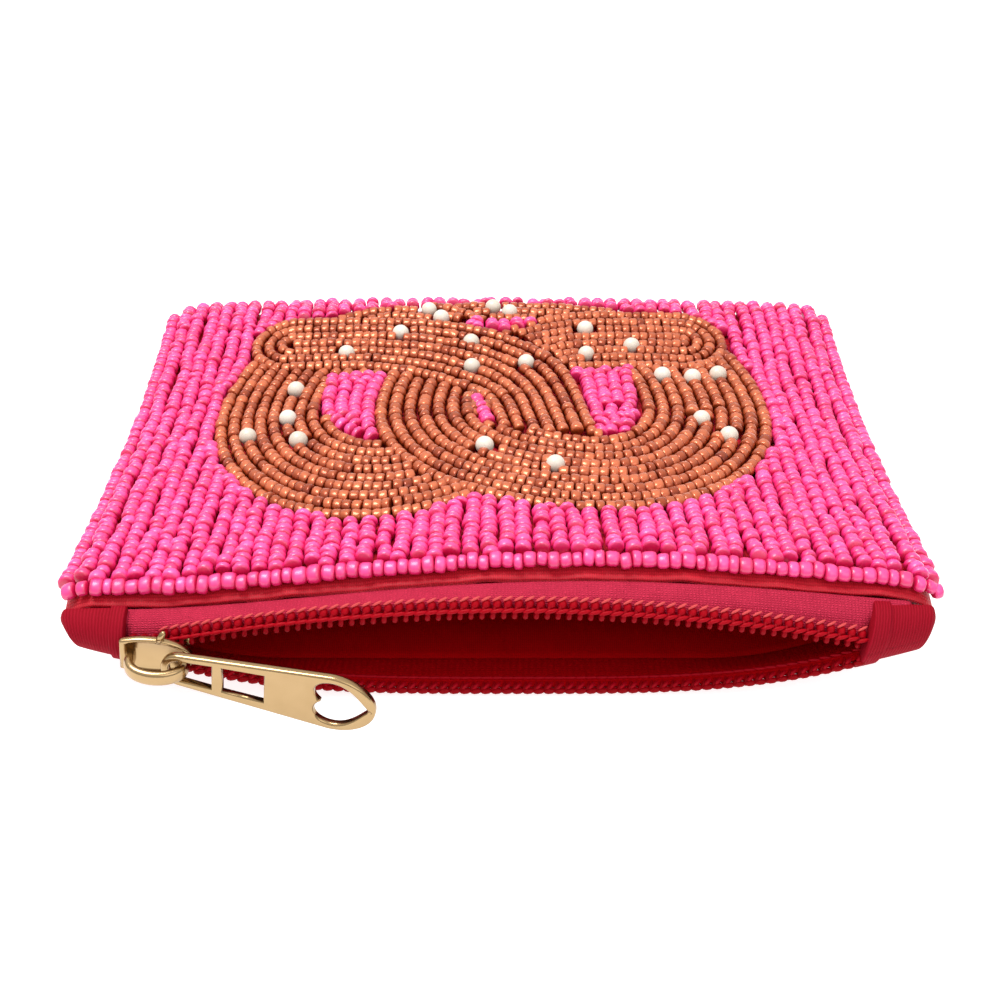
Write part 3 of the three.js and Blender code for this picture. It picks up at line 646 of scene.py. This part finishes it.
field_places = np.stack([column_x.ravel(), column_y.ravel(), np.full(column_x.size, -np.pi / 2)], -1)
field_lengths = lengths.ravel()


def clear_of_ropes(x, y):
    """True where a pink bead fits: its middle, both sides and both ends are off the ropes, and its middle is
    off the three near gaps."""
    fits = np.isin(eye_at(x, y), (0, 3))
    for shift_x, shift_y in ((0, 0), (-0.8, 0), (0.8, 0), (0, 0.5), (0, -0.5)):
        fits &= rope_at(x + shift_x, y + shift_y) == 0
    return fits


pushed = np.full(len(field_places), np.nan)
for push in (0.0, 0.35, -0.35, 0.7, -0.7, 1.05, -1.05):
    fits = np.isnan(pushed) & clear_of_ropes(field_places[:, 0] + push, field_places[:, 1])
    pushed[fits] = push
shown = ~np.isnan(pushed) & (field_places[:, 1] > COLUMN_END)
field_places[:, 0] += np.nan_to_num(pushed)
pink_places, pink_lengths = [field_places[shown]], [field_lengths[shown]]
for low, high, rows in (
    (left_eye_edge, left_eye_side, np.arange(14.6, -7.8, -EYE_STEP)),
    (right_eye_side, right_eye_edge, np.arange(14.8, -6.0, -EYE_STEP)),
    (sliver_left, sliver_right, np.arange(5.4, -3.6, -EYE_STEP)),
):
    for y in rows:
        fits = max(1, round(float(high(y) - low(y)) / EYE_BEAD))
        place = (np.arange(fits) + 0.5) / fits
        x, ahead = blend_between(low(y), high(y), place), blend_between(low(y - 0.5), high(y - 0.5), place)
        heading = np.arctan2(-0.5 / ALONG, ahead - x)
        pink_places.append(np.stack([x, np.full(fits, y) + random.normal(0, 0.15, fits), heading], -1))
        pink_lengths.append(random.normal(1.2, 0.12, fits))
pink_places, pink_lengths = np.vstack(pink_places), np.concatenate(pink_lengths)
count = len(pink_places)
seed_bead = bead_form(10, (-1, -0.84, -0.42, 0.42, 0.84, 1), (0.7, 0.9, 1.0, 1.0, 0.9, 0.7))
field = string_beads(
    "pink_field", seed_bead, pink_places, 1.25 + random.normal(0, 0.1, count),
    random.normal(1.26, 0.08, count), pink_lengths, pink, np.clip(random.normal(0.56, 0.12, count), 0, 1),
    lean=0.1, painted_crown_light=0.3, painted_end_shade=0.5,
)
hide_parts("bead_field", "bead_patch_left", "bead_patch_right", "bead_patch_far")


# Border row: one string of the same pink beads along the mouth, laid crosswise to the columns.
# It is couched over the edge of the facing and runs down round both corners.
BORDER_SHARE, BORDER_START, BORDER_RUN = 0.978, -61.0, 123.3
border_steps = np.clip(random.normal(1.7, 0.22, 80), 1.25, 2.3)
border_x = np.cumsum(border_steps) - border_steps / 2
border_x = border_x[border_x < BORDER_RUN] + BORDER_START
border_steps = border_steps[: len(border_x)]
count = len(border_x)
border_y = np.full(count, FAR_Y - BORDER_SHARE * PANEL_DEPTH) + random.normal(0, 0.14, count)
border = string_beads(
    "border_beads", seed_bead, np.stack([border_x, border_y, np.zeros(count)], -1), np.full(count, 1.3),
    random.normal(0.98, 0.07, count), border_steps * 0.99, pink,
    np.clip(random.normal(0.46, 0.1, count), 0, 1), lean=0.09, painted_crown_light=0.3, painted_end_shade=0.5,
)
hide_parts("border_strand")


# Pearls: round ivory beads of 3 mm with a soft lustre, which stand for the salt on the pretzel.
# Each is sewn on by itself, in a gap left between the bronze strings.
pearl_material = bead_material(
    "ivory_lustre", (0.60, 0.53, 0.43, 1), (0.70, 0.64, 0.54, 1), (0.76, 0.71, 0.62, 1),
    {"Specular IOR Level": 0.5, "Coat Weight": 0.5, "Coat Roughness": 0.1}, (0.24, 0.36),
)
polar = np.linspace(0.08, np.pi - 0.08, 14)
pearl_form = bead_form(20, -np.cos(polar), np.sin(polar))
_, pearl_east, pearl_north, pearl_out = cloth_frame(pearl_centres[:, 0], pearl_centres[:, 1])
count = len(pearl_centres)
radius = random.normal(1.5, 0.03, count)
points, faces = repeat_form(
    pearl_form, pearl_centres, pearl_north, pearl_east, -pearl_out, radius, 2 * radius, radius
)
pearl_tone = np.repeat(random.uniform(0.2, 1, count), len(pearl_form[0]))
pearls = add_piece("pearls", points, faces, pearl_material, tone=pearl_tone)
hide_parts(*[f"pearl_{k:02d}" for k in range(1, 24)])


# Zip tapes: two narrow woven polyester tapes, pinker than the satin, sewn under the facing and the back
# panel's edge. The upper one runs behind its coil; the lower one shows its inner side, lying over its coil,
# and is given darker colours than the upper one as painted shade for the inside of the mouth.
CHAIN_Y, CHAIN_LEFT, CHAIN_RIGHT = -52.6, -51.7, 50.2
UPPER_DROP = np.array([0.0, -math.cos(math.radians(50)), -math.sin(math.radians(50))])
LOWER_DROP = np.array([0.0, -math.cos(math.radians(10)), -math.sin(math.radians(10))])


def facing_side(drop):
    """Unit vector that stands out of a chain's upper face: its drop direction turned by a right angle."""
    return np.array([0.0, drop[2], -drop[1]])


def parted(x, power):
    """How far the zip has parted: 1 at the middle of the mouth, falling as a power of the distance to 0 at
    its ends."""
    return 1 - np.minimum(1, np.abs(x - 2) / 50) ** power


def upper_chain(x):
    """Middle line of the upper half of the zip."""
    return np.stack([x, np.full_like(x, CHAIN_Y), 9.6 + 5.8 * parted(x, 1.9)], -1)


def lower_chain(x):
    """Middle line of the lower half of the zip, resting on the table in the middle of the mouth."""
    return np.stack([x, np.full_like(x, CHAIN_Y), 7.0 - 5.85 * parted(x, 3.4)], -1)


tape_material = woven_material(
    "crimson_tape", (0.31, 0.012, 0.034, 1), (0.60, 0.033, 0.080, 1), 0.5, 0.34, 0.2,
    {"Roughness": 0.75, "Specular IOR Level": 0.06}, uneven=3.5,
)
# Painted shade: darker colours than the upper tape's, standing in for the shade inside the mouth.
painted_shade_tape_material = woven_material(
    "crimson_tape_painted_shade", (0.24, 0.0, 0.001, 1), (0.36, 0.0, 0.003, 1), 0.9, 0.45, 0.1,
    {"Roughness": 0.8, "Specular IOR Level": 0.03},
)
TAPE_ROWS = 16
tape_x = np.linspace(-58.0, 58.0, 180)
tucked = np.stack([np.zeros_like(tape_x), 3.2 * ramp(np.abs(tape_x), 51.5, 55.5), np.zeros_like(tape_x)], -1)
seam_y = np.full_like(tape_x, FAR_Y - PANEL_DEPTH)
upper_seam = np.stack([tape_x, seam_y - 0.3, cloth_height(tape_x, seam_y) - 0.35], -1)
back_y = np.full_like(tape_x, FAR_Y - BACK_END * PANEL_DEPTH)
lower_seam = np.stack([tape_x, back_y + 0.3, back_height(tape_x, back_y) + 1.5], -1)
upper_out, lower_out = facing_side(UPPER_DROP), facing_side(LOWER_DROP)
upper_rows = (
    upper_seam,
    0.5 * (upper_seam + upper_chain(tape_x) - 1.2 * UPPER_DROP) + 0.35 * upper_out,
    upper_chain(tape_x) - 1.5 * UPPER_DROP + tucked,
    upper_chain(tape_x) + 0.05 * UPPER_DROP - 0.55 * upper_out + tucked,
)
lower_rows = (
    lower_seam,
    0.5 * (lower_seam + lower_chain(tape_x) - 1.1 * LOWER_DROP) + 0.45 * lower_out,
    lower_chain(tape_x) - 1.1 * LOWER_DROP + 0.75 * lower_out + tucked,
    lower_chain(tape_x) + 0.5 * LOWER_DROP + 0.5 * lower_out + tucked,
)
for name, node, rows, material in (
    ("tape_over", "zip_tape_upper", upper_rows, tape_material),
    ("tape_under", "zip_tape_lower", lower_rows, painted_shade_tape_material),
):
    run = smooth_rows(np.stack([row.ravel() for row in rows]), TAPE_ROWS).reshape(TAPE_ROWS, -1, 3)
    depth = np.vstack([np.zeros(len(tape_x)), np.cumsum(np.linalg.norm(np.diff(run, axis=0), axis=-1), 0)])
    tape = thicken(
        add_piece(
            name, run, grid_faces(TAPE_ROWS, len(tape_x)), material,
            uv=np.stack([np.broadcast_to(tape_x, depth.shape), depth], -1),
        ),
        0.6,
    )
    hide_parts(node)


# Zip coils: a nylon filament wound into a flat helix at a pitch of 1.5 mm, its turns pressed into heads at
# the free edge. Rows of thread loops sew each coil to its tape, so only the heads stand clear of the
# stitches; the upper coil's left end, behind the slider, has none.
PITCH, TURN_STEPS, COIL_SIDES = 1.5, 18, 8


def join_parts(parts):
    """Several sets of points and quads as one: each set's quads are moved on past the points before it."""
    starts = np.cumsum([0] + [len(points) for points, _ in parts])
    faces = [part_faces + start for (_, part_faces), start in zip(parts, starts)]
    return np.vstack([points for points, _ in parts]), np.vstack(faces)


def wound_coil(line, drop, first, last):
    """Filament round a chain's middle line: a flat helix, wide along the drop direction and thin across it.
    It moves on along the chain by the angle less most of its sine, so each turn stands square at the free
    edge as a head, where the filament's radius swells by two fifths; both ends are closed."""
    turns = int((last - first) / PITCH)
    angle = np.linspace(0, 2 * np.pi * turns, turns * TURN_STEPS + 1)
    x = first + (angle - 0.85 * np.sin(angle)) / (2 * np.pi) * PITCH
    wide, thin = 0.84 * np.cos(angle)[:, None] * drop, 0.42 * np.sin(angle)[:, None] * facing_side(drop)
    path = line(x) + wide + thin
    ahead = np.gradient(path, axis=0)
    ahead /= np.linalg.norm(ahead, axis=1, keepdims=True)
    outward = wide + thin
    outward = outward - (outward * ahead).sum(1, keepdims=True) * ahead
    outward /= np.linalg.norm(outward, axis=1, keepdims=True)
    sideways = np.cross(outward, ahead)
    radius = 0.30 + 0.12 * np.clip(np.cos(angle), 0, 1) ** 2
    ring = np.arange(COIL_SIDES) * 2 * np.pi / COIL_SIDES
    skin = np.cos(ring)[None, :, None] * outward[:, None] + np.sin(ring)[None, :, None] * sideways[:, None]
    points = (path[:, None] + radius[:, None, None] * skin).reshape(-1, 3)
    return points, lofted_faces(len(path), COIL_SIDES)


grain = bead_form(8, (-1, -0.8, -0.35, 0.35, 0.8, 1), (0.15, 0.6, 0.95, 0.95, 0.6, 0.15))
# A row of stitches: seat along the drop, lift off the chain, slant in degrees, thickness, length and tone.
for name, node, line, drop, plain_end, colours, rows in (
    ("coil_over", "zip_coil_upper", upper_chain, UPPER_DROP, 5.1,
     ((0.20, 0.0005, 0.004, 1), (0.37, 0.001, 0.008, 1), (0.62, 0.085, 0.085, 1)),
     ((-1.65, 0.75, 26, 0.2, 1.5, 0.9), (-0.9, 0.25, 78, 0.62, 1.5, 0.42),
      (0.05, 0.62, 12, 0.31, 2.0, 0.38))),
    ("coil_under", "zip_coil_lower", lower_chain, LOWER_DROP, 0.6,
     # Painted shade: the lower coil's colours are darker than the upper coil's, standing in for the shade
     # inside the mouth.
     ((0.20, 0.0, 0.002, 1), (0.27, 0.0, 0.004, 1), (0.36, 0.002, 0.010, 1)),
     ((-0.75, 0.85, 2, 0.24, 1.9, 0.7), (0.45, 0.55, 50, 0.34, 1.5, 0.8),
      (1.05, 0.1, 10, 0.46, 1.75, 0.4))),
):
    parts, tones = [wound_coil(line, drop, CHAIN_LEFT, CHAIN_RIGHT + 1.4)], [0.15]
    out = facing_side(drop)
    stitch_x = np.arange(CHAIN_LEFT + plain_end, CHAIN_RIGHT + 1.0, PITCH)
    count = len(stitch_x)
    for seat, lift, slant, thick, long, tone in rows:
        axis = math.cos(math.radians(slant)) * np.array([1.0, 0, 0]) - math.sin(math.radians(slant)) * drop
        side = np.cross(axis, out)
        ways = [np.tile(way, (count, 1)) for way in (side, axis, out)]
        sizes = [np.full(count, measure) for measure in (thick, long, thick)]
        stitches, faces = repeat_form(grain, line(stitch_x) + seat * drop + lift * out, *ways, *sizes)
        parts.append((stitches.reshape(-1, 3), faces))
        tones.append(tone)
    nylon = bead_material(name + "_nylon", *colours, {"Specular IOR Level": 0.07}, (0.3, 0.5))
    coil_tone = np.repeat(tones, [len(points) for points, _ in parts])
    coil = add_piece(name, *join_parts(parts), nylon, tone=coil_tone)
    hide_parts(node)


# End tabs: a short ribbon folded round each end of the zip and sewn flat, with a hem turned over its inner
# edge. The ribbon is grosgrain, so fine ribs run round it from top to bottom.
TAB_FOLD_Y, HEM_RISE = -49.3, 0.4
rib_material = woven_material(
    "crimson_ribbon", (0.20, 0.0008, 0.006, 1), (0.30, 0.004, 0.016, 1), 0.46, None, 0.09,
    {"Roughness": 0.75, "Specular IOR Level": 0.08}, uneven=1.6,
)
for name, node, inner, outer, top, bottom, bulge, hem, lean, cut in (
    ("tab_left", "end_tab_left", -52.2, -61.6, (13.0, 12.8), (5.0, 6.8), (4.2, 2.8), 2.1, 0.2, 1.1),
    ("tab_right", "end_tab_right", 51.3, 61.6, (13.9, 13.4), (3.6, 6.2), (4.6, 2.8), 2.7, 1.2, -0.7),
):
    share = np.linspace(0, 1, 70)[:, None]
    angle = np.linspace(0, 2 * np.pi, 64, endpoint=False)[None]
    length = abs(outer - inner)
    high, low, front = (blend_between(ends[0], ends[1], share) for ends in (top, bottom, bulge))
    inset = share * length
    raised = HEM_RISE * ramp(inset, hem + 0.2, hem) * ramp(inset, -0.1, 0.3)
    close = 1 - 0.45 * ramp(inset, length - 1.3, length) ** 3
    forward = np.where(np.cos(angle) > 0, front + raised, 0.5) * np.cos(angle) * close
    along = blend_between(inner, outer, share) + lean * (1 - share) * np.sin(angle)
    along = along + cut * share**2 * (1 - np.sin(angle))
    tall = (high + low) / 2 + ((high - low) / 2 + raised) * np.sin(angle) * close
    points = np.stack([along, TAB_FOLD_Y - forward, tall], -1)
    faces = lofted_faces(len(share), angle.size)
    uv = np.stack([np.broadcast_to(inset, forward.shape), np.broadcast_to(angle * 4.0, forward.shape)], -1)
    tab = add_piece(name, points, faces if outer > 0 else faces[:, ::-1], rib_material, uv=uv)
    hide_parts(node)


# Slider: die-cast and plated pale gold. A leaf-shaped front plate with a raised rim, a round bridge that
# holds the pull, a small locking prong, a post in the crotch of the zip and a smaller plate behind the
# chains.
gold, gold_tree, gold_shader = start_material("pale_gold_plate", {"Metallic": 1.0})
gold_noise = mottle_roughness(gold_tree, gold_shader, 260.0, 4.0, 0.14, 0.28)
gold_colour = mix_colours(gold_tree, gold_noise, (0.37, 0.245, 0.117, 1), (0.47, 0.322, 0.167, 1))
gold_tree.links.new(gold_colour, gold_shader.inputs["Base Color"])
PIVOT, DROOP, YAW = (-46.0, -56.45, 8.6), math.radians(6), math.radians(11)
pivot_place = Matrix.Translation(PIVOT) @ Matrix.Rotation(DROOP, 4, "Y")


def cubic(rows, t):
    """Points at parameters t of the cubic Bezier through its two end rows, drawn by its two middle ones."""
    p, t = np.array(rows, float), t[:, None]
    return (1 - t) ** 3 * p[0] + 3 * (1 - t) ** 2 * t * p[1] + 3 * (1 - t) * t**2 * p[2] + t**3 * p[3]


def leaf_outline(count):
    """Front plate's outline: two cubic Bezier sides from the broad tail to the narrow nose, closed round."""
    side = cubic([(-5.4, -2.5), (-2.2, -3.6), (2.8, -3.6), (4.6, -0.9)], np.linspace(0, 1, count))
    return np.vstack([side, side[::-1] * np.array([1, -1])])


def dished_plate(outline, centre, rows):
    """Plate as rings of its outline shrunk towards a centre: each row gives a ring's share and its depth
    along Y."""
    rings = [
        np.stack([centre[0] + s * (outline[:, 0] - centre[0]), np.full(len(outline), y),
                  centre[1] + s * (outline[:, 1] - centre[1])], -1)
        for s, y in rows
    ]
    return np.vstack(rings), lofted_faces(len(rows), len(outline))


def bent_bar(path, half_wide, half_thick, sides):
    """Bar of rounded oblong section carried along a path in the slider's XY plane, its width along Z."""
    ahead = np.gradient(path, axis=0)
    ahead /= np.linalg.norm(ahead, axis=1, keepdims=True)
    out = np.stack([ahead[:, 1], -ahead[:, 0]], -1)
    angle = np.arange(sides) * 2 * np.pi / sides
    c, s = np.cos(angle), np.sin(angle)
    wide = half_wide * np.sign(s) * np.abs(s) ** 0.7
    thick = half_thick * np.sign(c) * np.abs(c) ** 0.7
    flat = path[:, None] + thick[None, :, None] * out[:, None]
    points = np.concatenate([flat, np.broadcast_to(wide[None, :, None], flat.shape[:2] + (1,))], -1)
    return points.reshape(-1, 3), lofted_faces(len(path), sides)


front_plate = dished_plate(leaf_outline(40), (-0.6, 0.0), (
    (0.05, 1.75), (0.74, 1.75), (0.80, 1.62), (0.86, 1.42), (0.92, 1.38), (0.97, 1.45), (1.0, 1.65),
    (1.0, 2.25), (0.97, 2.45), (0.90, 2.5), (0.05, 2.5),
))
sweep = np.linspace(np.pi, 2 * np.pi, 40)
arch = np.vstack([[(-3.8, 1.9)], np.stack([3.8 * np.cos(sweep), 2.6 * np.sin(sweep)], -1), [(3.8, 1.9)]])
bridge = bent_bar(arch, 1.1, 0.7, 16)
post = bent_bar(np.array([(2.9, 2.3), (2.9, 3.2), (2.9, 4.4), (2.9, 5.4)]), 0.7, 0.7, 16)
corner = np.linspace(0, 2 * np.pi, 48, endpoint=False)
oblong = np.stack([4.1 * np.sign(np.cos(corner)) * np.abs(np.cos(corner)) ** 0.4,
                   1.25 * np.sign(np.sin(corner)) * np.abs(np.sin(corner)) ** 0.5], -1)
back_plate = dished_plate(
    oblong, (0, 0), ((0.05, 5.2), (0.93, 5.2), (1.0, 5.4), (1.0, 5.9), (0.93, 6.1), (0.05, 6.1))
)
prong_rings = [
    np.stack([r * np.cos(corner[::4]) + 0.35 * (z - 2.6), 1.9 + r * np.sin(corner[::4]), np.full(12, z)], -1)
    for r, z in ((0.6, 2.6), (0.58, 3.6), (0.45, 4.3), (0.18, 4.6))
]
prong = np.vstack(prong_rings), lofted_faces(4, 12)[:, ::-1]
points, faces = join_parts((front_plate, bridge, post, back_plate, prong))
slider_place = pivot_place @ Matrix.Translation((-1.2, 0, 0))
turn, shift = np.array(slider_place.to_3x3()), np.array(slider_place.to_translation())
slider = add_piece("zip_slider", points @ turn.T + shift, faces, gold)
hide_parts("slider")


# Pull: stamped from sheet 1.3 mm thick with rolled edges and plated with the slider. A loop with a long
# window hangs on the bridge, a second window follows, and a heart is pierced near the rounded end.
EDGE_ROUND, FLAT_HALF = 0.4, 0.25


def arc_of(centre, wide, deep, first, last, count):
    """Part of an ellipse between two angles in degrees."""
    angle = np.radians(np.linspace(first, last, count))
    return np.stack([centre + wide * np.cos(angle), deep * np.sin(angle)], -1)


heart_steps = np.linspace(0, 1, 16, endpoint=False)
heart_side = np.vstack([
    cubic([(29.15, 0), (27.95, 1.2), (26.4, 3.75), (24.0, 3.75)], heart_steps),
    cubic([(24.0, 3.75), (21.2, 3.75), (20.6, 1.2), (22.3, 0)], heart_steps),
])
loops = [
    np.vstack([arc_of(23.6, 6.5, 4.85, -90, 90, 40), arc_of(2.2, 2.8, 2.8, 90, 270, 30)]),
    np.vstack([[(6.75, -2.1)], [(6.75, 2.1)], arc_of(2.25, 1.7, 1.7, 90, 270, 24)]),
    np.array([(14.25, -2.5), (14.25, 2.5), (8.3, 2.2), (8.3, -2.2)]),
    np.vstack([heart_side, [(22.3, 0)], heart_side[:0:-1] * np.array([1, -1])]),
]
outline = bpy.data.curves.new("pull_outline", "CURVE")
outline.dimensions = "2D"
outline.fill_mode = "BOTH"
outline.bevel_depth = EDGE_ROUND
outline.offset = -EDGE_ROUND
outline.extrude = FLAT_HALF
outline.bevel_resolution = 3
for loop in loops:
    spline = outline.splines.new("POLY")
    spline.points.add(len(loop) - 1)
    flat = np.column_stack([loop, np.zeros(len(loop)), np.ones(len(loop))])
    spline.points.foreach_set("co", flat.ravel())
    spline.use_cyclic_u = True
sketch = bpy.data.objects.new("pull_sketch", outline)
scene.collection.objects.link(sketch)
pull_mesh = bpy.data.meshes.new_from_object(sketch.evaluated_get(bpy.context.evaluated_depsgraph_get()))
bpy.data.objects.remove(sketch)
shell = bmesh.new()
shell.from_mesh(pull_mesh)
bmesh.ops.remove_doubles(shell, verts=shell.verts, dist=1e-3)
bmesh.ops.recalc_face_normals(shell, faces=shell.faces)
shell.to_mesh(pull_mesh)
shell.free()
pull_mesh.transform(
    Matrix.Scale(MM, 4) @ pivot_place @ Matrix.Rotation(-YAW, 4, "Z") @ Matrix.Rotation(math.pi / 2, 4, "X")
)
pull_mesh.materials.clear()
pull_mesh.materials.append(gold)
pull = bpy.data.objects.new("pull_tab_plate", pull_mesh)
scene.collection.objects.link(pull)
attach(pull, "pull_tab")
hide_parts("pull")
